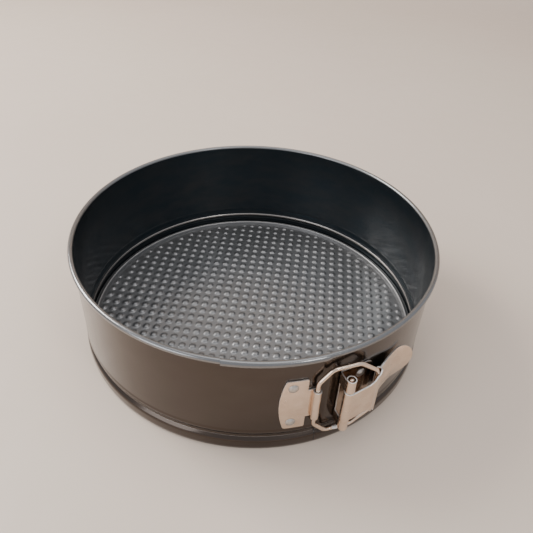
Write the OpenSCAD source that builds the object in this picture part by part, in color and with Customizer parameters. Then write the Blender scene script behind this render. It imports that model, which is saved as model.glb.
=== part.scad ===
// Springform baking pan: a split side band that is clamped round a loose
// embossed base by an over-centre lever and a wire bail.
// Millimetres. Origin on the pan's axis at the resting plane, +Z up, latch
// towards -Y. Angles called "a" run from the front (-Y) towards +X.

/* [Pan] */
// Inside diameter of the side band
pan_d = 229.4; // [180:0.2:300]
// Overall height
pan_h = 74.5; // [50:0.5:100]
// Thickness of the steel sheet as modelled
sheet = 0.8; // [0.5:0.1:1.2]
// Radius of the rolled rim
rim_r = 1.6; // [1.2:0.1:2.5]
// Radius of the fatter rim where the two band ends lap
lap_rim_r = 1.9; // [1.4:0.1:2.8]
// Angle over which the inner band end lies under the outer one
lap_angle = 26.3; // [10:0.1:40]

/* [Base] */
// Thickness of the base sheet as modelled
base_t = 0.9; // [0.6:0.1:1.5]
// Radius of the raised ring round the embossed floor
ring_r = 112; // [85:0.5:145]
// Height of the raised ring
ring_h = 3.5; // [2:0.1:6]

/* [Latch] */
// Height of the latch's middle above the table
latch_z = 38.2; // [25:0.1:60]
// Wire radius of the bail
wire_r = 1.25; // [1:0.05:2]
// Half height of the bail loop, to the wire's centre
bail_half = 25.4; // [15:0.1:35]
// Radius of the pivot pin
pin_r = 1.55; // [1.2:0.05:2.5]
// Half height of the pivot pin
pin_half = 20.6; // [12:0.1:28]
// Half height of the lever's middle knuckle
knuckle_half = 11; // [6:0.1:16]
// Half height of the lever's hook
hook_half = 16.9; // [10:0.1:24]
// Distance from the pivot pin to the bail's right leg
lever_arm = 19.03; // [14:0.01:26]

/* [Hidden] */
$fn = 96;
r_in = pan_d / 2;
r_out = r_in + sheet;
gap = 0.1;
run_gap = 0.07;

// band section: rolled rim, stiffening groove and the seat for the base edge
rim_c = r_in + rim_r;
lap_c = r_in + lap_rim_r;
groove_top = 15.5;
groove_in = 0.8;
seat_out = 0.8;
lip_in = 0.3;

// lap: the inner end runs on a smaller radius
tongue_r = r_in - 1.55;
lap_left = -29.3;
seam_a = lap_left + lap_angle;
end_gap = 0.5;
lap_wall_top = pan_h - 4.3;

// latch plan positions
catch_x = -9.3;
catch_y = -117.8;
pin_x = 6.5;
pin_y = -123.4;
lever_a = 11.15;
knuckle_r = 3.1;
bracket_r = 2.7;
barrel_r = 2.55;
plate_t = 1.0;
plate_r = r_out + gap;
lever_t = 0.9;
rivet_r = 1.5;
rivet_a = -10.8;
rivet_z = 14;
bracket_rivet_a = 8.4;
bracket_rivet_z = 12.7;

// bail plan: from the catch barrel to the lever's hook
leg_x = pin_x + lever_arm * cos(lever_a);
leg_y = pin_y + lever_arm * sin(lever_a);
bail_w = norm([leg_x - catch_x, leg_y - catch_y]);
bail_a = atan2(leg_y - catch_y, leg_x - catch_x);

// hook and finger tongue, in the lever's own plan: u along, w towards the wall
hook_u = 19.15;
hook_w = 0.15;
hook_in = 2.35;
hook_out = hook_in + lever_t;
tongue_path = [[19.15, 2.95], [24, 3.0], [28, 3.7], [33, 5.0], [38, 6.1], [43, 6.6], [48, 6.5], [53, 6.0]];
tongue_z = 3;
tongue_half = 12;

// ---------------------------------------------------------------- sections

// Rolled rim: arc points from the wall's inside over the top to its outside.
function roll(c, r, n) = [for (i = [0 : n]) let (t = 180 - (360 - acos(1 - sheet / r)) * i / n)
  [c + r * cos(t), pan_h - r + r * sin(t)]];

// Band section: foot with the seat for the base, groove, plain wall, rolled rim.
module rim_section() {
  polygon(concat([
    [r_in, groove_top - 0.5],
    [r_in - groove_in, groove_top - 3],
    [r_in - groove_in, groove_top - 5],
    [r_in + 0.4, groove_top - 8.4],
    [r_in + seat_out, groove_top - 10],
    [r_in + seat_out, 2.2],
    [r_in + lip_in, sheet],
    [r_in + lip_in, 0],
    [r_in + lip_in + 0.6, 0],
    [r_out + seat_out, 1.8],
    [r_out + seat_out, groove_top - 9.7],
    [r_out + 0.4, groove_top - 8],
    [r_out - groove_in, groove_top - 5.2],
    [r_out - groove_in, groove_top - 2.8],
    [r_out, groove_top - 0.3]
  ], [for (i = [24 : -1 : 0]) roll(rim_c, rim_r, 24)[i]]));
}

// Inner end of the band in the lap: a tongue with the rim carried outwards.
module tongue_section() {
  polygon([
    [tongue_r, groove_top + 0.3],
    [tongue_r + sheet, groove_top + 0.3],
    [tongue_r + sheet, pan_h - 4.6],
    [lap_c - 1.2, pan_h - 3.2],
    [lap_c, pan_h - lap_rim_r],
    [lap_c - 1.2, pan_h - 0.7],
    [tongue_r, pan_h - 4.1]
  ]);
  translate([lap_c, pan_h - lap_rim_r])
    circle(lap_rim_r);
}

// Turns a section about the pan's axis from angle a0 over a span.
module sweep(a0, span) {
  rotate([0, 0, a0 - 90])
    rotate_extrude(angle = span)
      children();
}

// Places children on the band's outside at angle a, +X pointing outwards.
module on_wall(a, z) {
  rotate([0, 0, a - 90])
    translate([0, 0, z])
      children();
}

module rivet_hole(a, z) {
  on_wall(a, z)
    translate([r_in - 3, 0, 0])
      rotate([0, 90, 0])
        cylinder(r = rivet_r + 0.03, h = 8);
}

// Domed head outside, shank, thin flat head inside.
module rivet(a, z) {
  head_r = 2.9;
  head_h = 1.3;
  dome_r = (head_r * head_r + head_h * head_h) / (2 * head_h);
  grip = plate_r + plate_t + 0.02 - r_in;
  on_wall(a, z)
    translate([r_in, 0, 0])
      rotate([0, 90, 0])
        rotate_extrude() {
          intersection() {
            translate([0, grip + head_h - dome_r])
              circle(dome_r);
            translate([0, grip])
              square([head_r + 1, head_h + 1]);
          }
          translate([0, -0.4])
            square([rivet_r, grip + 0.6]);
          translate([0, -0.45])
            square([rivet_r + 1.1, 0.35]);
        }
}

// ---------------------------------------------------------------- pan

module base_plate() {
  inner = ring_r - 1.2;
  color("#4a4a4d")
    rotate_extrude()
      polygon([
        [0, 0],
        [inner - 0.8, 0],
        [ring_r - 0.5, ring_h - base_t],
        [ring_r + 0.5, ring_h - base_t],
        [ring_r + 1.3, 1.6],
        [r_in - 0.1, 1.6],
        [r_in - 0.1, 1.6 + base_t],
        [ring_r + 1.9, 1.6 + base_t],
        [ring_r + 0.9, ring_h],
        [ring_r - 0.9, ring_h],
        [inner - 1.3, base_t],
        [0, base_t]
      ]);
}

module band_left() {
  start = 180.15;
  lap_start = 360 + lap_left - 0.3;
  lap_end = 360 + seam_a - end_gap;
  color("#5b4638")
    difference() {
      sweep(start, lap_end - start)
        rim_section();
      sweep(lap_start, lap_angle + 2)
        translate([r_in - 2, lap_wall_top])
          square([8, 8]);
      rivet_hole(rivet_a, latch_z + rivet_z);
      rivet_hole(rivet_a, latch_z - rivet_z);
    }
}

module band_right() {
  color("#5b4638")
    difference() {
      union() {
        sweep(seam_a, 180 - seam_a)
          rim_section();
        sweep(lap_left, lap_angle + 0.2)
          tongue_section();
        sweep(seam_a - 0.1, 0.5)
          translate([tongue_r + 0.1, groove_top + 0.6])
            square([r_in - tongue_r + 0.3, pan_h - 6 - groove_top]);
      }
      rivet_hole(bracket_rivet_a, latch_z + bracket_rivet_z);
      rivet_hole(bracket_rivet_a, latch_z - bracket_rivet_z);
    }
}

// ---------------------------------------------------------------- latch

// Curved strip of plate lying on the band between two angles.
module wall_plate(a0, a1, half) {
  translate([0, 0, latch_z - half])
    sweep(a0, a1 - a0)
      translate([plate_r, 0])
        square([plate_t, 2 * half]);
}

// Outline of the catch plate seen from outside: bowed left edge, notched right.
module catch_outline() {
  half = 19.5;
  bow_r = 62;
  bow_x = -28.6 + bow_r;
  intersection() {
    translate([-40, -half])
      square([26.4, 2 * half]);
    translate([bow_x, 0])
      circle(bow_r);
  }
  translate([-20, -knuckle_half])
    square([10.5, 2 * knuckle_half]);
}

// Catch: the riveted plate and the rolled barrel for the bail.
module catch_plate() {
  color("#c9b8a4")
    difference() {
      union() {
        intersection() {
          wall_plate(-16, -2, 25);
          translate([0, -100, latch_z])
            rotate([90, 0, 0])
              linear_extrude(30)
                catch_outline();
        }
        translate([catch_x, catch_y, latch_z - knuckle_half])
          cylinder(r = barrel_r, h = 2 * knuckle_half);
      }
      translate([catch_x, catch_y, latch_z - knuckle_half - 1])
        cylinder(r = wire_r + run_gap, h = 2 * knuckle_half + 2);
      rivet_hole(rivet_a, latch_z + rivet_z);
      rivet_hole(rivet_a, latch_z - rivet_z);
    }
}

module catch_rivet_upper() {
  color("#b5b5b3")
    rivet(rivet_a, latch_z + rivet_z);
}

module catch_rivet_lower() {
  color("#b5b5b3")
    rivet(rivet_a, latch_z - rivet_z);
}

module bracket_rivet_upper() {
  color("#b5b5b3")
    rivet(bracket_rivet_a, latch_z + bracket_rivet_z);
}

module bracket_rivet_lower() {
  color("#b5b5b3")
    rivet(bracket_rivet_a, latch_z - bracket_rivet_z);
}

// Pivot bracket: wall plate, standing web and two knuckles round the pin.
module hinge_bracket() {
  half = 19.4;
  web_x = pin_x - bracket_r;
  color("#bfae9b")
    difference() {
      union() {
        wall_plate(1.9, 12.5, half);
        translate([web_x, pin_y, latch_z - half])
          cube([plate_t, -pin_y - r_out - 0.9, 2 * half]);
        translate([pin_x, pin_y, latch_z - half])
          cylinder(r = bracket_r, h = 2 * half);
      }
      translate([pin_x, pin_y, latch_z - half - 1])
        cylinder(r = pin_r + 0.03, h = 2 * half + 2);
      translate([pin_x - 6, pin_y - 5, latch_z - knuckle_half - 0.35])
        cube([12, 8.6, 2 * knuckle_half + 0.7]);
      rivet_hole(bracket_rivet_a, latch_z + bracket_rivet_z);
      rivet_hole(bracket_rivet_a, latch_z - bracket_rivet_z);
    }
}

module pivot_pin() {
  color("#d8d2c8")
    translate([pin_x, pin_y, latch_z - pin_half])
      cylinder(r = pin_r, h = 2 * pin_half);
}

// Corners of the bail loop in its own plane: distance from the catch leg, height.
bail_pts = [[0, -17], [7.5, -bail_half], [23, -bail_half], [bail_w, bail_w - 23 - bail_half],
            [bail_w, 23 + bail_half - bail_w], [23, bail_half], [7.5, bail_half], [0, 17]];
bend_r = 5;

function bail_pt(i) = bail_pts[(i + 8) % 8];
// Direction of the run that leaves corner i, and the turn at corner i.
function heading(i) = let (d = bail_pt(i + 1) - bail_pt(i)) atan2(d[1], d[0]);
function turn(i) = (heading(i) - heading(i - 1) + 720) % 360;
// Length that the bend at corner i takes from each run.
function trim(i) = bend_r * tan(turn(i) / 2);

// Wire bail: straight runs that reach a little way into slightly fatter bends.
module bail_loop() {
  reach = 0.2;
  color("#cfc8be")
    translate([catch_x, catch_y, latch_z])
      rotate([90, 0, bail_a])
        for (i = [0 : 7])
          translate([bail_pt(i)[0], bail_pt(i)[1], 0]) {
            rotate([0, 0, heading(i)])
              translate([trim(i) - reach, 0, 0])
                rotate([0, 90, 0])
                  cylinder(r = wire_r, h = norm(bail_pt(i + 1) - bail_pt(i)) - trim(i) - trim(i + 1) + 2 * reach);
            rotate([0, 0, heading(i - 1)])
              translate([-trim(i), bend_r, 0])
                rotate([0, 0, -90])
                  rotate_extrude(angle = turn(i))
                    translate([bend_r, 0])
                      circle(wire_r + 0.02);
          }
}

function unit(v) = v / norm(v);
function side(pts, i) = let (a = pts[max(i - 1, 0)], b = pts[min(i + 1, len(pts) - 1)], d = unit(b - a))
  [-d[1], d[0]];
function strip(pts, t) = concat([for (i = [0 : len(pts) - 1]) pts[i] + side(pts, i) * t / 2],
  [for (i = [len(pts) - 1 : -1 : 0]) pts[i] - side(pts, i) * t / 2]);

// Outline of the lever's wing and hook, seen from outside: u along, z up.
module wing_outline() {
  fillet = 6;
  u0 = hook_u - 1.9;
  translate([0, -knuckle_half])
    square([hook_u + 1, 2 * knuckle_half]);
  translate([u0, -hook_half])
    square([hook_u - u0, 2 * hook_half]);
  for (s = [-1, 1])
    difference() {
      translate([u0 - fillet, s > 0 ? knuckle_half - 0.1 : -knuckle_half - fillet + 0.1])
        square([fillet + 0.1, fillet]);
      translate([u0 - fillet, s * (knuckle_half + fillet)])
        circle(fillet);
    }
}

// Outline of the finger tongue, seen from outside.
module tongue_outline() {
  tip = 53;
  translate([hook_u, tongue_z - 10])
    square([12, 20]);
  translate([30, tongue_z - tongue_half])
    square([tip - tongue_half - 30, 2 * tongue_half]);
  translate([tip - tongue_half, tongue_z])
    circle(tongue_half);
  translate([30, tongue_z])
    circle(tongue_half);
}

// The hook's ends are cut away in front, where the bail's corners swing through.
module clamp_lever() {
  clear_z = 12.6;
  clear_u = 1.2;
  clear_back = 5;
  color("#cdb9a3")
    translate([pin_x, pin_y, latch_z])
      rotate([0, 0, lever_a])
        difference() {
          union() {
            translate([0, 0, -knuckle_half])
              cylinder(r = knuckle_r, h = 2 * knuckle_half);
            translate([0, lever_t - knuckle_r, 0])
              rotate([90, 0, 0])
                linear_extrude(lever_t)
                  wing_outline();
            translate([hook_u, hook_w, -hook_half])
              difference() {
                cylinder(r = hook_out, h = 2 * hook_half);
                translate([0, 0, -1])
                  cylinder(r = hook_in, h = 2 * hook_half + 2);
                translate([-8, -8, -1])
                  cube([8, 16, 2 * hook_half + 2]);
              }
            intersection() {
              translate([0, 0, -20])
                linear_extrude(40)
                  polygon(strip(tongue_path, lever_t));
              translate([0, 20, 0])
                rotate([90, 0, 0])
                  linear_extrude(40)
                    tongue_outline();
            }
          }
          translate([0, 0, -knuckle_half - 1])
            cylinder(r = pin_r + run_gap, h = 2 * knuckle_half + 2);
          for (z = [clear_z, -clear_z - 6])
            translate([hook_u - clear_back, -4, z])
              cube([clear_back + clear_u, 4.2, 6]);
        }
}

// ---------------------------------------------------------------- output

base_plate();
band_left();
band_right();
catch_plate();
catch_rivet_upper();
catch_rivet_lower();
bail_loop();
clamp_lever();
hinge_bracket();
pivot_pin();
bracket_rivet_upper();
bracket_rivet_lower();
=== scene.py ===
"""Springform pan: split band, embossed base and over-centre latch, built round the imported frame."""
import math

import bmesh
import bpy
from mathutils import Matrix, Vector


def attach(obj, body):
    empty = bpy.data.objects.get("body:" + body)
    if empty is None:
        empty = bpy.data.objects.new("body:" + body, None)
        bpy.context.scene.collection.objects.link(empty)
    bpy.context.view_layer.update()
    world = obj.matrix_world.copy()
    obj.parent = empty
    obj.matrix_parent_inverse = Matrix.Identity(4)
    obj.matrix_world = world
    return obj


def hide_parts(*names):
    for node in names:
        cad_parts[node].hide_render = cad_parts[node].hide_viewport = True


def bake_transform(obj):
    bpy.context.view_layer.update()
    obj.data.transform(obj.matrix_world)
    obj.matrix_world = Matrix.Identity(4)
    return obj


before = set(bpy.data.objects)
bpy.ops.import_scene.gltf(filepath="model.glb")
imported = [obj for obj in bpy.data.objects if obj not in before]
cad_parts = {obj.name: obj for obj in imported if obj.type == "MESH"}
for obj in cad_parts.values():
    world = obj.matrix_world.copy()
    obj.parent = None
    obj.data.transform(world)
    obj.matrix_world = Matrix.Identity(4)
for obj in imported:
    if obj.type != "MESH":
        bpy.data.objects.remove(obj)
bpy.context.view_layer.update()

# Lengths below are millimetres in the CAD frame; build() turns them into metres.
MM = 0.001

# pan
R_IN = 114.7
SHEET = 0.8
PAN_H = 74.5
RIM_R = 1.6
LAP_RIM_R = 1.9
LAP_SHIFT = -1.55
LAP_LEFT = -29.3
SEAM = -3.0
END_GAP = 0.15
LAP_WALL_TOP = 70.2
GROOVE_TOP = 15.5
CURL_END = -105

# base
BASE_T = 0.9
RING_R = 112.0
RING_H = 3.5
BUMP_PITCH = 7.17
BUMP_HALF = 2.5
BUMP_H = 0.9
BUMP_TURN = -27.8
BUMPS_TO = 111.0

# latch
LATCH_Z = 38.2
CATCH = (-9.3, -117.8)
PIN = (6.5, -123.4)
LEVER_A = 11.15
LEVER_ARM = 19.03
WIRE_R = 1.25
BAIL_HALF = 25.4
BAIL_BEND = 5.0
PLATE_R = 116.1
KNUCKLE_HALF = 11.0
HOOK_HALF = 16.9
PIN_HALF = 20.6
PIN_R = 1.55
BAIL_SHOULDER = 15.9
BAIL_SHORT = 17.0
BAIL_RUN = (7.5, 23.0)
CATCH_RIVETS = (-10.8, 14.0)
BRACKET_RIVETS = (8.4, 12.7)

# surfaces, each from dark to light
INSIDE_COAT = ((0.013, 0.023, 0.031), (0.026, 0.039, 0.049))
OUTSIDE_COAT = ((0.038, 0.025, 0.018), (0.057, 0.039, 0.028))
WIPED_COAT = (0.085, 0.068, 0.057)
# painted highlights: lighter metal greys for the rolled rim and for the bead's crest inside the groove
RIM_HIGHLIGHT = ((0.19, 0.19, 0.192), (0.23, 0.23, 0.232))
BEAD_HIGHLIGHT = ((0.31, 0.28, 0.26), (0.37, 0.34, 0.32))
BASE_COAT = ((0.200, 0.200, 0.203), (0.285, 0.284, 0.286))
RUBBED_BASE = (0.31, 0.308, 0.308)
# painted highlight along the crest of the base's raised ring
RING_CREST_HIGHLIGHT = (0.55, 0.53, 0.51)
# partly real warm nickel, partly painted reflection: tinted beige towards the wood the plating reflects
NICKEL = ((0.72, 0.555, 0.435), (0.83, 0.67, 0.54))
# painted shade: darker, browner plating for the bracket's plate and web
SHADED_PLATING = ((0.27, 0.20, 0.15), (0.36, 0.28, 0.22))
# partly real bare steel, partly painted highlight: near-white metal on the cut and bevelled edges
SHEARED_METAL = ((0.82, 0.80, 0.78), (0.95, 0.94, 0.93))
RIVET_METAL = ((0.42, 0.39, 0.36), (0.60, 0.56, 0.52))
PALE_FLOOR = ((0.70, 0.58, 0.48), (0.75, 0.63, 0.53))


# ---------------------------------------------------------------- plane curves

def arc(cx, cy, r, a0, a1, n):
    """Points on a circle from angle a0 to a1 in degrees, both ends included."""
    steps = [math.radians(a0 + (a1 - a0) * i / n) for i in range(n + 1)]
    return [(cx + r * math.cos(t), cy + r * math.sin(t)) for t in steps]


def rounded(points, radius, n=4):
    """A polyline with each inner corner turned into n+1 points of a soft bend."""
    out = [points[0]]
    for before, here, after in zip(points, points[1:], points[2:]):
        p, q, s = Vector(before), Vector(here), Vector(after)
        reach = min(radius, (q - p).length * 0.48, (s - q).length * 0.48)
        a = q + (p - q).normalized() * reach
        b = q + (s - q).normalized() * reach
        for i in range(n + 1):
            t = i / n
            out.append(tuple((1 - t) ** 2 * a + 2 * t * (1 - t) * q + t * t * b))
    out.append(points[-1])
    return out


def side_steps(path):
    """Unit normals, to the left of the way along an open polyline."""
    out = []
    for i in range(len(path)):
        a = Vector(path[max(i - 1, 0)])
        b = Vector(path[min(i + 1, len(path) - 1)])
        d = (b - a).normalized()
        out.append(Vector((-d.y, d.x)))
    return out


def resample(path, lengths):
    """Points at the given distances along a polyline."""
    marks = [0.0]
    for a, b in zip(path, path[1:]):
        marks.append(marks[-1] + (Vector(b) - Vector(a)).length)
    out = []
    k = 0
    for s in lengths:
        s = min(max(s, 0.0), marks[-1])
        while k < len(path) - 2 and marks[k + 1] < s:
            k += 1
        while k > 0 and marks[k] > s:
            k -= 1
        t = (s - marks[k]) / max(marks[k + 1] - marks[k], 1e-9)
        out.append(Vector(path[k]).lerp(Vector(path[k + 1]), t))
    return out


def length_of(path):
    return sum((Vector(b) - Vector(a)).length for a, b in zip(path, path[1:]))


def spread(a, b, step):
    n = max(1, math.ceil(abs(b - a) / step))
    return [a + (b - a) * i / n for i in range(n + 1)]


# ---------------------------------------------------------------- meshes

def soften(bm, angle):
    """Smooth shading everywhere but on edges sharper than the angle."""
    for face in bm.faces:
        face.smooth = True
    for edge in bm.edges:
        flat = len(edge.link_faces) != 2
        edge.smooth = not flat and edge.calc_face_angle(0.0) < math.radians(angle)


def build(name, verts, faces, material, weld=0.002, angle=35):
    """A mesh object from millimetre points, welded, with its normals outward."""
    bm = bmesh.new()
    made = [bm.verts.new(Vector(v) * MM) for v in verts]
    for face in faces:
        corners = [made[i] for i in dict.fromkeys(face)]
        if len(corners) > 2:
            try:
                bm.faces.new(corners)
            except ValueError:
                continue
    bmesh.ops.remove_doubles(bm, verts=bm.verts, dist=weld * MM)
    bmesh.ops.dissolve_degenerate(bm, edges=bm.edges, dist=weld * MM)
    loose = [v for v in bm.verts if not v.link_faces]
    bmesh.ops.delete(bm, geom=loose, context="VERTS")
    bmesh.ops.recalc_face_normals(bm, faces=bm.faces)
    soften(bm, angle)
    mesh = bpy.data.meshes.new(name)
    bm.to_mesh(mesh)
    bm.free()
    mesh.materials.append(material)
    obj = bpy.data.objects.new(name, mesh)
    bpy.context.scene.collection.objects.link(obj)
    return obj


def apply_modifiers(obj, angle=35):
    """Bakes the modifiers into the mesh and shades it again."""
    depsgraph = bpy.context.evaluated_depsgraph_get()
    mesh = bpy.data.meshes.new_from_object(obj.evaluated_get(depsgraph))
    obj.modifiers.clear()
    old = obj.data
    obj.data = mesh
    mesh.name = obj.name
    bpy.data.meshes.remove(old)
    bm = bmesh.new()
    bm.from_mesh(mesh)
    soften(bm, angle)
    bm.to_mesh(mesh)
    bm.free()
    return obj


def thicken(obj, thickness, edge_material):
    """Turns a surface into sheet metal with softened sheared edges of a second material."""
    edge = 0.2
    obj.data.materials.append(edge_material)
    solid = obj.modifiers.new("sheet", "SOLIDIFY")
    solid.thickness = thickness * MM
    solid.offset = 0.0
    solid.use_even_offset = True
    solid.material_offset_rim = 1
    bevel = obj.modifiers.new("edges", "BEVEL")
    bevel.width = edge * MM
    bevel.segments = 2
    bevel.limit_method = "ANGLE"
    bevel.angle_limit = math.radians(50)
    bevel.material = 1
    return apply_modifiers(obj)


def loft(rings, closed=False):
    """Vertices and faces of a tube through rings with equal numbers of points."""
    n = len(rings[0])
    verts = [p for ring in rings for p in ring]
    faces = []
    last = len(rings) if closed else len(rings) - 1
    for k in range(last):
        here, there = k * n, ((k + 1) % len(rings)) * n
        for i in range(n):
            j = (i + 1) % n
            faces.append((here + i, here + j, there + j, there + i))
    if not closed:
        faces.append(tuple(range(n)))
        faces.append(tuple(range((len(rings) - 1) * n, len(rings) * n)))
    return verts, faces


def grid_faces(count, across):
    """Faces between count rows of points, each row with the given number across."""
    return [(i * across + j, (i + 1) * across + j, (i + 1) * across + j + 1, i * across + j + 1)
            for i in range(count - 1) for j in range(across - 1)]


def turned(r, z, a):
    """Point at radius r and height z, angle a from the front (-Y) towards +X."""
    t = math.radians(a)
    return (r * math.sin(t), -r * math.cos(t), z)


def joined(name, parts):
    """Makes one object of several, keeping the first one's materials."""
    for obj in bpy.context.selected_objects:
        obj.select_set(False)
    for obj in parts:
        obj.select_set(True)
    bpy.context.view_layer.objects.active = parts[0]
    bpy.ops.object.join()
    parts[0].name = name
    parts[0].data.name = name
    return parts[0]


# ---------------------------------------------------------------- materials

def material(name):
    mat = bpy.data.materials.new(name)
    mat.use_nodes = True
    nodes = mat.node_tree.nodes
    nodes.clear()
    out = nodes.new("ShaderNodeOutputMaterial")
    shader = nodes.new("ShaderNodeBsdfPrincipled")
    mat.node_tree.links.new(shader.outputs[0], out.inputs[0])
    return mat, shader


def link(mat, a, b):
    mat.node_tree.links.new(a, b)


def node(mat, kind, **settings):
    made = mat.node_tree.nodes.new(kind)
    for key, value in settings.items():
        setattr(made, key, value)
    return made


def object_point(mat, scale=(1, 1, 1)):
    """Object coordinates, stretched."""
    place = node(mat, "ShaderNodeTexCoord")
    mapping = node(mat, "ShaderNodeMapping")
    mapping.inputs["Scale"].default_value = scale
    link(mat, place.outputs["Object"], mapping.inputs["Vector"])
    return mapping.outputs["Vector"]


def noise(mat, scale, detail=3.0, stretch=(1, 1, 1), roughness=0.5):
    made = node(mat, "ShaderNodeTexNoise")
    made.inputs["Scale"].default_value = scale
    made.inputs["Detail"].default_value = detail
    made.inputs["Roughness"].default_value = roughness
    link(mat, object_point(mat, stretch), made.inputs["Vector"])
    return made.outputs["Fac"]


def remap(mat, value, from_low, from_high, to_low, to_high):
    made = node(mat, "ShaderNodeMapRange")
    for socket, number in zip(("From Min", "From Max", "To Min", "To Max"),
                              (from_low, from_high, to_low, to_high)):
        made.inputs[socket].default_value = number
    link(mat, value, made.inputs["Value"])
    return made.outputs["Result"]


def blend_color(mat, factor, low, high):
    made = node(mat, "ShaderNodeMix", data_type="RGBA")
    for socket, value in ((made.inputs[6], low), (made.inputs[7], high)):
        if isinstance(value, tuple):
            socket.default_value = (*value, 1)
        else:
            link(mat, value, socket)
    link(mat, factor, made.inputs[0])
    return made.outputs[2]


def math_node(mat, operation, a, b):
    made = node(mat, "ShaderNodeMath", operation=operation)
    for socket, value in zip(made.inputs, (a, b)):
        if isinstance(value, (int, float)):
            socket.default_value = value
        else:
            link(mat, value, socket)
    return made.outputs[0]


def bump(mat, shader, height, distance, strength=1.0, below=None):
    made = node(mat, "ShaderNodeBump")
    made.inputs["Distance"].default_value = distance
    made.inputs["Strength"].default_value = strength
    link(mat, height, made.inputs["Height"])
    if below:
        link(mat, below, made.inputs["Normal"])
    link(mat, made.outputs["Normal"], shader.inputs["Normal"])
    return made.outputs["Normal"]


def facing_out(mat):
    """1 where a surface faces away from the pan's axis, 0 where it faces in."""
    place = node(mat, "ShaderNodeTexCoord")
    flat = node(mat, "ShaderNodeVectorMath", operation="MULTIPLY")
    flat.inputs[1].default_value = (1, 1, 0)
    unit = node(mat, "ShaderNodeVectorMath", operation="NORMALIZE")
    dot = node(mat, "ShaderNodeVectorMath", operation="DOT_PRODUCT")
    link(mat, place.outputs["Object"], flat.inputs[0])
    link(mat, flat.outputs[0], unit.inputs[0])
    link(mat, unit.outputs[0], dot.inputs[0])
    link(mat, place.outputs["Normal"], dot.inputs[1])
    return remap(mat, dot.outputs["Value"], -0.5, 0.5, 0.0, 1.0)


def coat_flake(mat, shader):
    """Fine metallic flake of a non-stick coating."""
    fine = noise(mat, 5200, 2.0)
    shader.inputs["Metallic"].default_value = 0.85
    return remap(mat, fine, 0.3, 0.7, 0.0, 1.0)


def band_material(name, highlight_colors=None):
    """Coat of the band; the optional second argument is a pair of lighter colours, a painted highlight for
    the rim or the bead.
    """
    mat, shader = material(name)
    out = facing_out(mat)
    flake = coat_flake(mat, shader)
    inside = blend_color(mat, flake, *INSIDE_COAT)
    outside = blend_color(mat, flake, *OUTSIDE_COAT)
    mixed = blend_color(mat, out, inside, outside)
    wiped = noise(mat, 38, 4.0, (1, 1, 2.6))
    tinted = blend_color(mat, remap(mat, wiped, 0.35, 0.75, 0.0, 0.25), mixed, WIPED_COAT)
    color = blend_color(mat, flake, *highlight_colors) if highlight_colors else tinted
    link(mat, color, shader.inputs["Base Color"])
    base_rough = remap(mat, out, 0.0, 1.0, 0.34, 0.20)
    streak = remap(mat, noise(mat, 90, 4.0, (1, 1, 0.12)), 0.3, 0.7, -0.02, 0.04)
    link(mat, math_node(mat, "ADD", base_rough, streak), shader.inputs["Roughness"])
    waves = noise(mat, 17, 1.0, (1, 1, 0.6))
    rolled = bump(mat, shader, waves, 0.0008, 0.25)
    bump(mat, shader, noise(mat, 2600, 3.0), 0.00002, 0.35, rolled)
    shader.inputs["Coat Weight"].default_value = 0.45
    shader.inputs["Coat Roughness"].default_value = 0.12
    return mat


def base_material():
    mat, shader = material("base_coat")
    flake = coat_flake(mat, shader)
    coat = blend_color(mat, flake, *BASE_COAT)
    rubbed = noise(mat, 30, 5.0, (1, 1, 1), 0.6)
    coat = blend_color(mat, remap(mat, rubbed, 0.4, 0.75, 0.0, 0.4), coat, RUBBED_BASE)
    height = node(mat, "ShaderNodeSeparateXYZ")
    link(mat, object_point(mat), height.inputs[0])
    # Painted highlight: the top 0.25 mm of the raised ring is lightened to a pale metal colour.
    ring_crest_highlight = remap(mat, height.outputs["Z"], (RING_H - 0.25) * MM, RING_H * MM, 0.0, 1.0)
    link(mat, blend_color(mat, ring_crest_highlight, coat, RING_CREST_HIGHLIGHT), shader.inputs["Base Color"])
    link(mat, remap(mat, noise(mat, 140, 4.0), 0.3, 0.7, 0.34, 0.44), shader.inputs["Roughness"])
    bump(mat, shader, noise(mat, 2200, 3.0), 0.00003, 0.4)
    shader.inputs["Specular IOR Level"].default_value = 0.7
    return mat


def plate_material(name, low, high):
    mat, shader = material(name)
    shader.inputs["Metallic"].default_value = 1.0
    cloud = noise(mat, 160, 4.0)
    link(mat, blend_color(mat, remap(mat, cloud, 0.3, 0.7, 0.0, 1.0), low, high), shader.inputs["Base Color"])
    lines = noise(mat, 900, 3.0, (1, 1, 0.06))
    smear = noise(mat, 240, 3.0)
    rough = math_node(mat, "ADD", remap(mat, lines, 0.3, 0.7, 0.13, 0.20),
                      remap(mat, smear, 0.4, 0.8, 0.0, 0.14))
    link(mat, rough, shader.inputs["Roughness"])
    soft = bump(mat, shader, noise(mat, 210, 2.0), 0.00012, 0.5)
    bump(mat, shader, noise(mat, 1500, 3.0, (1, 1, 0.1)), 0.00001, 0.5, soft)
    return mat


def edge_material():
    """Sheared metal where the plate was cut, near-white: partly bare steel, partly a painted highlight along
    the edges.
    """
    mat, shader = material("sheared_edge")
    shader.inputs["Metallic"].default_value = 1.0
    torn = noise(mat, 1800, 3.0, (1, 1, 0.4))
    link(mat, blend_color(mat, remap(mat, torn, 0.3, 0.7, 0.0, 1.0), *SHEARED_METAL),
         shader.inputs["Base Color"])
    link(mat, remap(mat, noise(mat, 2400, 2.0), 0.3, 0.7, 0.36, 0.50), shader.inputs["Roughness"])
    bump(mat, shader, torn, 0.00003, 0.5)
    return mat


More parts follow.
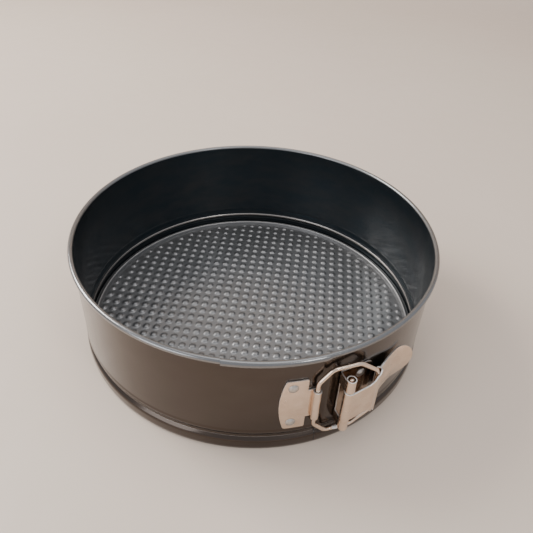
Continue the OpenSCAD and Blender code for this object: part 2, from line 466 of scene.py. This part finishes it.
def rivet_material():
    mat, shader = material("rivet_metal")
    shader.inputs["Metallic"].default_value = 1.0
    cloud = noise(mat, 700, 4.0)
    link(mat, blend_color(mat, remap(mat, cloud, 0.3, 0.7, 0.0, 1.0), *RIVET_METAL),
         shader.inputs["Base Color"])
    link(mat, remap(mat, noise(mat, 900, 3.0), 0.3, 0.7, 0.32, 0.52), shader.inputs["Roughness"])
    bump(mat, shader, noise(mat, 1300, 3.0), 0.00006, 0.6)
    return mat


def floor_material():
    mat, shader = material("pale_floor")
    cloud = noise(mat, 5, 3.0)
    link(mat, blend_color(mat, cloud, *PALE_FLOOR), shader.inputs["Base Color"])
    link(mat, remap(mat, noise(mat, 60, 3.0), 0.3, 0.7, 0.45, 0.6), shader.inputs["Roughness"])
    return mat


# ---------------------------------------------------------------- base

def bump_height(u, v):
    """Height of one pressed bump at a distance from its middle: a rounded square."""
    away = (abs(u) ** 3.2 + abs(v) ** 3.2) ** (1 / 3.2) / BUMP_HALF
    if away >= 1:
        return 0.0
    t = min(1.0, (1 - away) / 0.55)
    return BUMP_H * t * t * (3 - 2 * t)


def base_lines():
    """Grid lines across the floor: closer together over each bump."""
    marks = (-2.5, -2.15, -1.7, -1.2, -0.5, 0.5, 1.2, 1.7, 2.15, 2.5)
    count = math.ceil(110 / BUMP_PITCH)
    return [k * BUMP_PITCH + m for k in range(-count, count + 1) for m in marks]


def make_base(mat):
    """Pressed disc: an embossed floor, a raised ring and a flat edge, one sheet thick."""
    lines = base_lines()
    n = len(lines)
    grid_r = 109.4
    border_r = 110.0
    turn = Matrix.Rotation(math.radians(BUMP_TURN), 2)
    cells = [(i, j) for i in range(n - 1) for j in range(n - 1)
             if max(math.hypot(lines[a], lines[b])
                    for a in (i, i + 1) for b in (j, j + 1)) < grid_r]
    uses = {}
    for i, j in cells:
        for a, b in (((i, j), (i + 1, j)), ((i + 1, j), (i + 1, j + 1)),
                     ((i + 1, j + 1), (i, j + 1)), ((i, j + 1), (i, j))):
            key = frozenset((a, b))
            uses[key] = uses.get(key, 0) + 1
    border = {p for edge, count in uses.items() if count == 1 for p in edge}
    inner = {p for edge in uses for p in edge}
    index = {}
    verts = []
    for level in (BASE_T, 0.0):
        for i, j in sorted(inner):
            x, y = lines[i], lines[j]
            z = level
            if (i, j) in border:
                grow = border_r / math.hypot(x, y)
                x, y = x * grow, y * grow
            else:
                u = x - round(x / BUMP_PITCH) * BUMP_PITCH
                v = y - round(y / BUMP_PITCH) * BUMP_PITCH
                if math.hypot(x - u, y - v) < BUMPS_TO:
                    z += bump_height(u, v)
            p = turn @ Vector((x, y))
            index[(i, j, level)] = len(verts)
            verts.append((p.x, p.y, z))
    faces = []
    for level in (BASE_T, 0.0):
        for i, j in cells:
            around = ((i, j), (i + 1, j), (i + 1, j + 1), (i, j + 1))
            faces.append(tuple(index[(a, b, level)] for a, b in around))
    loop = sorted(border, key=lambda p: math.atan2(lines[p[1]], lines[p[0]]))
    half = BASE_T / 2
    section = [(border_r, half), (RING_R - 1.3, half), (RING_R - 0.35, RING_H - half),
               (RING_R + 0.35, RING_H - half), (RING_R + 1.2, 1.6 + half), (R_IN - 0.1, 1.6 + half)]
    path = rounded(section, 0.8, 5)
    sides = side_steps(path)
    outline = [Vector(p) + s * half for p, s in zip(path, sides)]
    outline += [Vector(p) - s * half for p, s in zip(reversed(path), reversed(sides))]
    rings = []
    for p in loop:
        q = turn @ Vector((lines[p[0]], lines[p[1]]))
        d = q.normalized()
        rings.append([index[(p[0], p[1], BASE_T)]]
                     + [len(verts) + k for k in range(len(outline) - 2)]
                     + [index[(p[0], p[1], 0.0)]])
        for c in outline[1:-1]:
            verts.append((d.x * c.x, d.y * c.x, c.y))
    for k, ring in enumerate(rings):
        after = rings[(k + 1) % len(rings)]
        for i in range(len(ring) - 1):
            faces.append((ring[i], ring[i + 1], after[i + 1], after[i]))
    return build("base_disc", verts, faces, mat, angle=50)


# ---------------------------------------------------------------- band

BEND_N = 5


def band_outline(shift, rim_r, foot=True, rim=True):
    """Closed outline of the band's sheet: foot, groove, wall and curled rim.
    shift moves the wall in or out; without foot or rim those points gather on the cut."""
    half = SHEET / 2
    wall = R_IN + half + shift
    corners = [(R_IN + 0.6, 0.28), (R_IN + 1.2, 2.0), (R_IN + 1.2, GROOVE_TOP - 8.6),
               (R_IN + 0.7, GROOVE_TOP - 7.6), (R_IN - 0.85, GROOVE_TOP - 6.3),
               (R_IN - 0.85, GROOVE_TOP - 5.7), (R_IN - 0.1, GROOVE_TOP - 4.8),
               (R_IN - 0.3, GROOVE_TOP - 3.4), (wall + 0.3, GROOVE_TOP - 0.7),
               (wall + 0.3, GROOVE_TOP), (wall, GROOVE_TOP + 1.4), (wall, PAN_H - 5.0)]
    start = (R_IN + half, PAN_H - rim_r)
    path = rounded(corners + [start], 0.9, BEND_N)[:-1]
    foot_corners = 10
    lower = 1 + foot_corners * (BEND_N + 1)
    upper = len(path)
    path += arc(R_IN + rim_r, PAN_H - rim_r, rim_r - half, 180, CURL_END, 30)
    sides = side_steps(path)
    out = []
    for sign in (1, -1):
        row = []
        for i, (p, s) in enumerate(zip(path, sides)):
            q = Vector(p) + s * half * sign
            if not foot and i < lower:
                q = Vector((wall - half * sign, GROOVE_TOP + 1.4))
            if not rim and i >= upper:
                q = Vector((wall - half * sign, LAP_WALL_TOP))
            row.append(q)
        out += row if sign > 0 else row[::-1]
    return out


def sweep(name, stations, mat):
    """Lofts band outlines round the pan's axis; stations are (angle, outline)."""
    rings = [[turned(p.x, p.y, a) for p in outline] for a, outline in stations]
    verts, faces = loft(rings)
    return build(name, verts, faces, mat)


def paint_rim_and_bead_highlights(piece, rim_highlight_mat, bead_highlight_mat):
    """Gives the rolled rim and the bead inside the groove their own lighter materials, as painted highlights.
    """
    piece.data.materials.append(rim_highlight_mat)
    piece.data.materials.append(bead_highlight_mat)
    crown, curl = PAN_H - 2.0, PAN_H - 3.9
    bead_low, bead_high = 9.1, 10.5
    for poly in piece.data.polygons:
        x, y, z = poly.center / MM
        r = math.hypot(x, y)
        if z > crown or (z > curl and r > R_IN + SHEET + 0.05):
            poly.material_index = 1
        elif bead_low < z < bead_high and r < R_IN - 0.4:
            poly.material_index = 2


def make_band_left(mat):
    """Left half; over the lap its rim is left out, since the right half's rim lies there."""
    full = band_outline(0, RIM_R)
    lapped = band_outline(0, RIM_R, rim=False)
    lap_start = 360 + LAP_LEFT - 0.05
    end = 360 + SEAM - END_GAP
    stations = [(a, full) for a in spread(180, lap_start, 1.0)]
    stations += [(a, lapped) for a in spread(lap_start, end, 1.0)]
    return sweep("band_half_left", stations, mat)


def make_band_right(mat):
    """Right half with the inner end of the lap; a joggle carries it out to the main wall."""
    joggle = 2.2
    lap = band_outline(LAP_SHIFT, LAP_RIM_R, foot=False)
    stations = [(a, lap) for a in spread(LAP_LEFT, SEAM, 1.0)]
    for i in range(9):
        t = i / 8
        ease = 1 - t * t * (3 - 2 * t)
        rim_r = RIM_R + (LAP_RIM_R - RIM_R) * ease
        stations.append((SEAM + joggle * t, band_outline(LAP_SHIFT * ease, rim_r)))
    full = band_outline(0, RIM_R)
    stations += [(a, full) for a in spread(SEAM + joggle, 180, 1.0)[1:]]
    return sweep("band_half_right", stations, mat)


# ---------------------------------------------------------------- sheet-metal strips

def strip(name, path, columns, rows, keep, place, thickness, mat, edge_mat):
    """Sheet bent along a plan path. columns(z) gives the distances along it at height z,
    keep(s, z) says which cells exist, place(p, z) gives the point in the CAD frame."""
    verts = []
    for z in rows:
        for p in resample(path, columns(z)):
            verts.append(place(p, z))
    middle = columns(0.0)
    n = len(middle)
    faces = []
    for j in range(len(rows) - 1):
        for i in range(n - 1):
            if keep((middle[i] + middle[i + 1]) / 2, (rows[j] + rows[j + 1]) / 2):
                a = j * n + i
                faces.append((a, a + 1, a + n + 1, a + n))
    obj = build(name, verts, faces, mat)
    return thicken(obj, thickness, edge_mat)


def corner_cut(z, half, radius):
    """How far a rounded corner takes a plate's end back at height z."""
    over = abs(z) - (half - radius)
    if over <= 0:
        return 0.0
    return radius - math.sqrt(max(radius * radius - over * over, 0.0))


def pressed(values, cut, reach):
    """Distances with their near end drawn in, spread over a reach."""
    low = values[0]
    return [v + cut * max(0.0, 1 - (v - low) / reach) for v in values]


def row_marks(half, special, step=1.5, corner=2.0):
    """Heights for a strip's rows: regular ones, its corners and the special ones."""
    marks = set(round(z, 3) for z in spread(-half, half, step))
    for k in range(7):
        z = half - corner * (1 - math.sin(math.radians(15 * k)))
        marks |= {round(z, 3), round(-z, 3)}
    marks = {z for z in marks if all(abs(abs(z) - s) > 0.3 for s in special)}
    for s in special:
        marks |= {s, -s}
    return sorted(marks)


def on_wall(x):
    """Plan point at x in the middle of a plate that lies on the wall."""
    return (x, -math.sqrt(PLATE_R * PLATE_R - x * x))


def latch_point(p, z):
    return (p.x, p.y, LATCH_Z + z)


def make_catch(mat, edge_mat):
    """Riveted plate with a bowed end, and the strip rolled into a barrel."""
    half = 19.5
    left, right = -28.6, -13.6
    bow_r = 62.0
    roll_r = 1.95
    cx, cy = CATCH
    wall_run = [on_wall(x) for x in spread(left, cx - 0.6, 0.8)]
    path = wall_run + arc(cx, cy, roll_r, 84, -232, 40)
    total = length_of(path)
    plate_end = length_of([p for p in wall_run if p[0] <= right + 0.5])
    columns_flat = spread(0, plate_end, 0.8) + spread(plate_end, total, 0.45)[1:]

    def columns(z):
        bow = bow_r - math.sqrt(bow_r * bow_r - z * z)
        low = bow + corner_cut(z, half, 1.2)
        tip = corner_cut(z, half, 0.9) if abs(z) > KNUCKLE_HALF + 1 else 0.0
        out = []
        for s in columns_flat:
            near = max(0.0, 1 - s / plate_end)
            far = max(0.0, 1 - abs(s - plate_end) / 3.0)
            out.append(s + low * near - tip * far)
        return out

    def keep(s, z):
        return s < plate_end or abs(z) < KNUCKLE_HALF

    rows = row_marks(half, (KNUCKLE_HALF,))
    return strip("latch_catch", path, columns, rows, keep, latch_point, 0.9, mat, edge_mat)


def make_bracket(mat, edge_mat, shaded_plate_mat):
    """Pivot bracket: wall plate, standing web and the two rolled knuckles."""
    half = 19.4
    knuckle_top = 20.2
    window = 11.35
    roll_r = 2.4
    px, py = PIN
    far_x = PLATE_R * math.sin(math.radians(12.5))
    web_x = px - roll_r
    wall_run = [on_wall(x) for x in spread(far_x, web_x + 1.6, 0.9)]
    bend = rounded([wall_run[-1], on_wall(web_x), (web_x, py + 1)], 1.3, 5)[1:-1]
    path = wall_run + bend + arc(px, py, roll_r, 180, 500, 40)
    total = length_of(path)
    plate_end = length_of(wall_run)
    window_from = plate_end + 2.4
    flat = spread(0, plate_end, 1.0)
    flat += spread(plate_end, window_from, 0.5)[1:] + spread(window_from, total, 0.5)[1:]

    def columns(z):
        return pressed(flat, corner_cut(z, half, 5.0), 8.0)

    def keep(s, z):
        return s < window_from or abs(z) > window

    def place(p, z):
        near_pin = math.hypot(p.x - px, p.y - py) < roll_r + 0.3
        return latch_point(p, z * knuckle_top / half if near_pin and abs(z) > window + 1 else z)

    rows = row_marks(half, (window,))
    bracket = strip("pivot_bracket", path, columns, rows, keep, place, 0.6, mat, edge_mat)
    # Painted shade: all of the plate and web but the pin's knuckle get the darker, browner plating, standing
    # in for shade and dark reflections.
    bracket.data.materials.append(shaded_plate_mat)
    pin = Vector((px, py, 0)) * MM
    for poly in bracket.data.polygons:
        if poly.material_index == 0 and (poly.center - pin).xy.length > (roll_r + 0.7) * MM:
            poly.material_index = 2
    return bracket


# ---------------------------------------------------------------- lever

def lever_point(p, z):
    t = math.radians(LEVER_A)
    x = PIN[0] + p.x * math.cos(t) - p.y * math.sin(t)
    y = PIN[1] + p.x * math.sin(t) + p.y * math.cos(t)
    return (x, y, LATCH_Z + z)


HOOK = (19.1, 0.05)
SHEET_W = -2.65
HOOK_R = 1.9
LEVER_T = 0.9
FRONT_TOP = 14.2
ACROSS = [-1 + 2 * k / 24 for k in range(25)]


def wing_top(u):
    """Half height of the lever's wing at distance u: a hollow rise to the hook."""
    rise_u, rise_r = 11.25, 6.0
    if u <= rise_u:
        return KNUCKLE_HALF
    if u >= rise_u + rise_r * 0.98:
        return FRONT_TOP
    return min(FRONT_TOP, KNUCKLE_HALF + rise_r - math.sqrt(rise_r * rise_r - (u - rise_u) ** 2))


def make_wing(mat, edge_mat):
    """Knuckle round the pin, wing and hook, bent from one sheet."""
    knuckle = arc(0, 0, -SHEET_W, 62, 270, 30)
    flat_to, hook_w = 16.2, HOOK[1] - HOOK_R
    wing = [(u, SHEET_W) for u in spread(0.5, flat_to, 0.6)]
    for k in range(1, 7):
        t = k / 6
        wing.append((flat_to + (HOOK[0] - 0.3 - flat_to) * t,
                     SHEET_W + (hook_w - SHEET_W) * t * t * (3 - 2 * t)))
    hook = arc(HOOK[0], HOOK[1], HOOK_R, -90, 78, 20)
    path = knuckle + wing + hook
    knuckle_s = length_of(knuckle)
    hook_s = length_of(knuckle + wing)
    total = length_of(path)
    flat = spread(0, knuckle_s, 0.5)
    flat += spread(knuckle_s, hook_s, 0.5)[1:] + spread(hook_s, total, 0.35)[1:]
    climb = 1.6
    points = resample(path, flat)
    verts = []
    for s, p in zip(flat, points):
        if s < knuckle_s:
            top = KNUCKLE_HALF
        elif s < hook_s:
            top = wing_top(p.x)
        else:
            t = min(1.0, (s - hook_s) / climb)
            top = FRONT_TOP + (HOOK_HALF - FRONT_TOP) * t * t * (3 - 2 * t)
        for v in ACROSS:
            verts.append(lever_point(p, v * top))
    faces = grid_faces(len(flat), len(ACROSS))
    return thicken(build("lever_wing", verts, faces, mat), LEVER_T, edge_mat)


def tongue_w(u):
    """Distance of the finger tongue from the lever's plane, towards the wall."""
    knots = [(19.15, 1.95), (24, 2.6), (28, 3.7), (33, 5.0),
             (38, 6.1), (43, 6.6), (48, 6.5), (53, 6.0)]
    for (u0, w0), (u1, w1) in zip(knots, knots[1:]):
        if u <= u1:
            t = (u - u0) / (u1 - u0)
            return w0 + (w1 - w0) * t
    return knots[-1][1]


def smooth_tongue_w(u):
    """The same, averaged so that the tongue bends without creases."""
    reach = 3.0
    samples = [tongue_w(min(max(u + reach * (k / 4 - 1), 19.15), 53)) for k in range(9)]
    return sum(samples) / len(samples)


def make_tongue(mat, edge_mat):
    """Spoon-shaped finger tongue with a soft pressed ridge."""
    middle, half, tip, neck = 3.0, 12.0, 53.0, 10.0
    u_list = spread(19.5, tip - half, 1.1)
    u_list += [tip - half + half * math.sin(math.radians(90 * k / 20)) for k in range(1, 21)]
    verts = []
    for u in u_list:
        if u < 30:
            t = (u - 19.5) / 10.5
            h = neck + (half - neck) * t * t * (3 - 2 * t)
        elif u < tip - half:
            h = half
        else:
            h = math.sqrt(max(half * half - (u - tip + half) ** 2, 0.0))
        for v in ACROSS:
            z = middle + h * v
            across = (z - middle) / half
            flare = min(1.0, max(0.0, (u - 24) / 16))
            w = smooth_tongue_w(u) + 1.5 * flare * across * across
            ridge = math.exp(-((z - middle + 2.5 - 0.18 * (u - 36)) / 1.5) ** 2)
            along = max(0.0, 1 - ((u - 33) / 10.5) ** 2)
            w -= 0.55 * ridge * along
            verts.append(lever_point(Vector((u, w)), z))
    faces = grid_faces(len(u_list), len(ACROSS))
    return thicken(build("lever_tongue", verts, faces, mat), LEVER_T, edge_mat)


# ---------------------------------------------------------------- bail, pin, rivets

def make_bail(mat, weld_mat):
    """Closed wire loop with bent corners and the small weld on its lower run."""
    t = math.radians(LEVER_A)
    leg = Vector((PIN[0] + LEVER_ARM * math.cos(t), PIN[1] + LEVER_ARM * math.sin(t)))
    along = leg - Vector(CATCH)
    width = along.length
    d = along.normalized()
    near, far = BAIL_RUN
    lower = [(0, -BAIL_SHORT), (near, -BAIL_HALF), (far, -BAIL_HALF), (width, -BAIL_SHOULDER)]
    corners = lower + [(x, -y) for x, y in reversed(lower)]
    path = []
    for i in range(8):
        before, here, after = (Vector(corners[(i + k) % 8]) for k in (-1, 0, 1))
        a_dir, b_dir = (here - before).normalized(), (after - here).normalized()
        turn = a_dir.angle(b_dir)
        trim = BAIL_BEND * math.tan(turn / 2)
        start = here - a_dir * trim
        centre = start + Vector((-a_dir.y, a_dir.x)) * BAIL_BEND
        base = math.degrees(math.atan2((start - centre).y, (start - centre).x))
        bend = arc(centre.x, centre.y, BAIL_BEND, base, base + math.degrees(turn), 10)
        path += [Vector(p) for p in bend]
        end = Vector(path[-1])
        nxt = Vector(corners[(i + 2) % 8]) - after
        next_trim = BAIL_BEND * math.tan((after - here).angle(nxt) / 2)
        stop = after - b_dir * next_trim
        run = (stop - end).length
        steps = max(2, int(run / 0.8))
        path += [end.lerp(stop, k / steps) for k in range(1, steps)]
    weld = Vector((14.5, -BAIL_HALF))
    out = Vector((d.y, -d.x, 0))
    rings = []
    for k, p in enumerate(path):
        ahead = (path[(k + 1) % len(path)] - path[k - 1]).normalized()
        side = Vector((-ahead.y, ahead.x))
        swell = WIRE_R + 0.16 * math.exp(-((p - weld).length / 0.7) ** 2)
        ring = []
        for i in range(20):
            a = 2 * math.pi * i / 20
            s = p + side * (swell * math.cos(a))
            w = swell * math.sin(a)
            ring.append((CATCH[0] + d.x * s.x + out.x * w, CATCH[1] + d.y * s.x + out.y * w,
                         LATCH_Z + s.y))
        rings.append(ring)
    verts, faces = loft(rings, closed=True)
    bail = build("wire_bail", verts, faces, mat)
    bail.data.materials.append(weld_mat)
    weld_reach = 2.4
    weld_at = Vector((CATCH[0] + d.x * weld.x, CATCH[1] + d.y * weld.x, LATCH_Z + weld.y))
    for poly in bail.data.polygons:
        if (poly.center / MM - weld_at).length < weld_reach:
            poly.material_index = 1
    return bail


def make_pin(mat):
    """Pivot pin with slightly domed, staked ends."""
    tip = PIN_HALF - 0.15
    section = [(0, tip), (0.7, tip - 0.04), (1.0, tip - 0.14), (1.2, tip - 0.4),
               (1.25, tip - 1.6), (PIN_R, tip - 2.2)]
    profile = section + [(r, -z) for r, z in reversed(section)]
    rings = []
    turns = [2 * math.pi * i / 40 for i in range(40)]
    for r, z in profile:
        around = max(r, 0.01)
        rings.append([(PIN[0] + around * math.cos(g), PIN[1] + around * math.sin(g), LATCH_Z + z)
                      for g in turns])
    verts, faces = loft(rings)
    return build("hinge_pin", verts, faces, mat, weld=0.0005, angle=60)


def make_rivet(name, a, z, mat):
    """Domed head with a slightly flattened crown outside, a shank and a flat head inside."""
    head_r, head_h = 2.9, 1.3
    out_r = PLATE_R + 0.5
    profile = [(0, head_h), (0.5, head_h - 0.02), (1.0, head_h - 0.1), (1.5, head_h - 0.27),
               (2.0, head_h - 0.52), (2.5, head_h - 0.86), (2.8, 0.18), (head_r, 0.05),
               (head_r - 0.05, -0.02), (1.5, -0.02)]
    inner = R_IN - out_r
    profile += [(1.5, inner + 0.05), (2.5, inner + 0.02), (2.6, inner - 0.2),
                (2.4, inner - 0.36), (1.6, inner - 0.42), (0, inner - 0.45)]
    t = math.radians(a)
    out = Vector((math.sin(t), -math.cos(t), 0))
    side = Vector((math.cos(t), math.sin(t), 0))
    up = Vector((0, 0, 1))
    rings = []
    for r, h in profile:
        ring = []
        around = max(r, 0.01)
        for i in range(36):
            g = 2 * math.pi * i / 36
            ring.append(out * (out_r + h) + side * around * math.cos(g)
                        + up * (around * math.sin(g) + z))
        rings.append(ring)
    verts, faces = loft(rings)
    return build(name, verts, faces, mat, weld=0.0005, angle=50)


# ---------------------------------------------------------------- stage

def make_stage():
    """Pale floor with a curved backdrop and soft lights."""
    mat = floor_material()
    profile = [(-1.2, 0.0), (0.9, 0.0)] + arc(0.9, 0.35, 0.35, -90, 0, 12)[1:] + [(1.25, 1.4)]
    verts = [(x, y, z) for y, z in profile for x in (-2.2, 2.2)]
    mesh = bpy.data.meshes.new("floor")
    mesh.from_pydata(verts, [], [(2 * i, 2 * i + 1, 2 * i + 3, 2 * i + 2) for i in range(len(profile) - 1)])
    for poly in mesh.polygons:
        poly.use_smooth = True
    mesh.materials.append(mat)
    floor = bpy.data.objects.new("floor", mesh)
    floor.rotation_euler = (0, 0, math.radians(-22))
    bpy.context.scene.collection.objects.link(floor)

    world = bpy.data.worlds.new("studio")
    world.use_nodes = True
    world.node_tree.nodes["Background"].inputs[0].default_value = (0.93, 0.95, 1.0, 1)
    world.node_tree.nodes["Background"].inputs[1].default_value = 0.75
    bpy.context.scene.world = world
    add_light("key", (-0.75, 0.75, 0.85), (0, 0, 0), 0.6, 17.0, (1.0, 0.97, 0.93))
    add_light("ceiling", (0.1, 0.1, 1.3), (0, 0, 0), 0.9, 4.0, (1.0, 0.98, 0.95))
    add_light("window", (-1.0, -0.4, 0.5), (0, 0, 0.04), 0.6, 4.0, (0.95, 0.97, 1.0))
    add_light("lamp", (0.25, -0.9, 1.0), (0, 0, 0.03), 0.22, 2.2, (1.0, 0.98, 0.95))


def add_light(name, at, target, size, power, color):
    data = bpy.data.lights.new(name, "AREA")
    data.size = size
    data.energy = power
    data.color = color
    lamp = bpy.data.objects.new(name, data)
    lamp.location = at
    lamp.rotation_euler = (Vector(target) - Vector(at)).to_track_quat("-Z", "Y").to_euler()
    bpy.context.scene.collection.objects.link(lamp)


def make_camera():
    place = Vector((-0.11132, -0.27554, 0.27742))
    forward = Vector((0.31346, 0.71776, -0.62175))
    roll = 3.14
    data = bpy.data.cameras.new("camera")
    data.lens = 37.15
    data.sensor_width = 36
    data.clip_start = 0.01
    camera = bpy.data.objects.new("camera", data)
    look = forward.to_track_quat("-Z", "Y").to_matrix().to_4x4()
    camera.matrix_world = Matrix.Translation(place) @ look @ Matrix.Rotation(math.radians(roll), 4, "Z")
    bpy.context.scene.collection.objects.link(camera)
    bpy.context.scene.camera = camera


# ---------------------------------------------------------------- assembly

def springs_open(piece, side):
    """Bakes the half's transform into its mesh; the halves are not bent here.
    side is 1 for the right half, -1 for the left; it is not used."""
    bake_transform(piece)


def stand_in(piece, body, slot_name, *nodes):
    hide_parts(*nodes)
    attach(piece, body)


make_camera()
make_stage()
base_mat = base_material()
band_mat = band_material("band_coat")
# Painted highlights: lighter metal colours for the rolled rim and the bead inside the groove.
rim_highlight_mat = band_material("band_rim_highlight", RIM_HIGHLIGHT)
bead_highlight_mat = band_material("band_bead_highlight", BEAD_HIGHLIGHT)
plate_mat = plate_material("nickel_plate", *NICKEL)
shaded_plate_mat = plate_material("shaded_plate", *SHADED_PLATING)
edge_mat = edge_material()
rivet_mat = rivet_material()

stand_in(make_base(base_mat), "base", "base_coat", "base_plate")
for piece, cad_node, side in ((make_band_left(band_mat), "band_left", -1),
                              (make_band_right(band_mat), "band_right", 1)):
    paint_rim_and_bead_highlights(piece, rim_highlight_mat, bead_highlight_mat)
    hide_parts(cad_node)
    springs_open(piece, side)
stand_in(make_catch(plate_mat, edge_mat), "band_swing", "plated_steel", "catch_plate")
stand_in(make_bracket(plate_mat, edge_mat, shaded_plate_mat), "band_main", "plated_steel", "hinge_bracket")
stand_in(make_bail(plate_mat, edge_mat), "bail", "plated_steel", "bail_loop")
stand_in(make_pin(plate_mat), "band_main", "plated_steel", "pivot_pin")
lever = joined("lever_stamping", [make_wing(plate_mat, edge_mat), make_tongue(plate_mat, edge_mat)])
stand_in(lever, "lever", "plated_steel", "clamp_lever")
for side, body, (a, rise) in (("catch", "band_swing", CATCH_RIVETS),
                              ("bracket", "band_main", BRACKET_RIVETS)):
    for level, sign in (("upper", 1), ("lower", -1)):
        piece = make_rivet(f"rivet_{side}_{level}", a, LATCH_Z + sign * rise, rivet_mat)
        stand_in(piece, body, "rivet_metal", f"{side}_rivet_{level}")
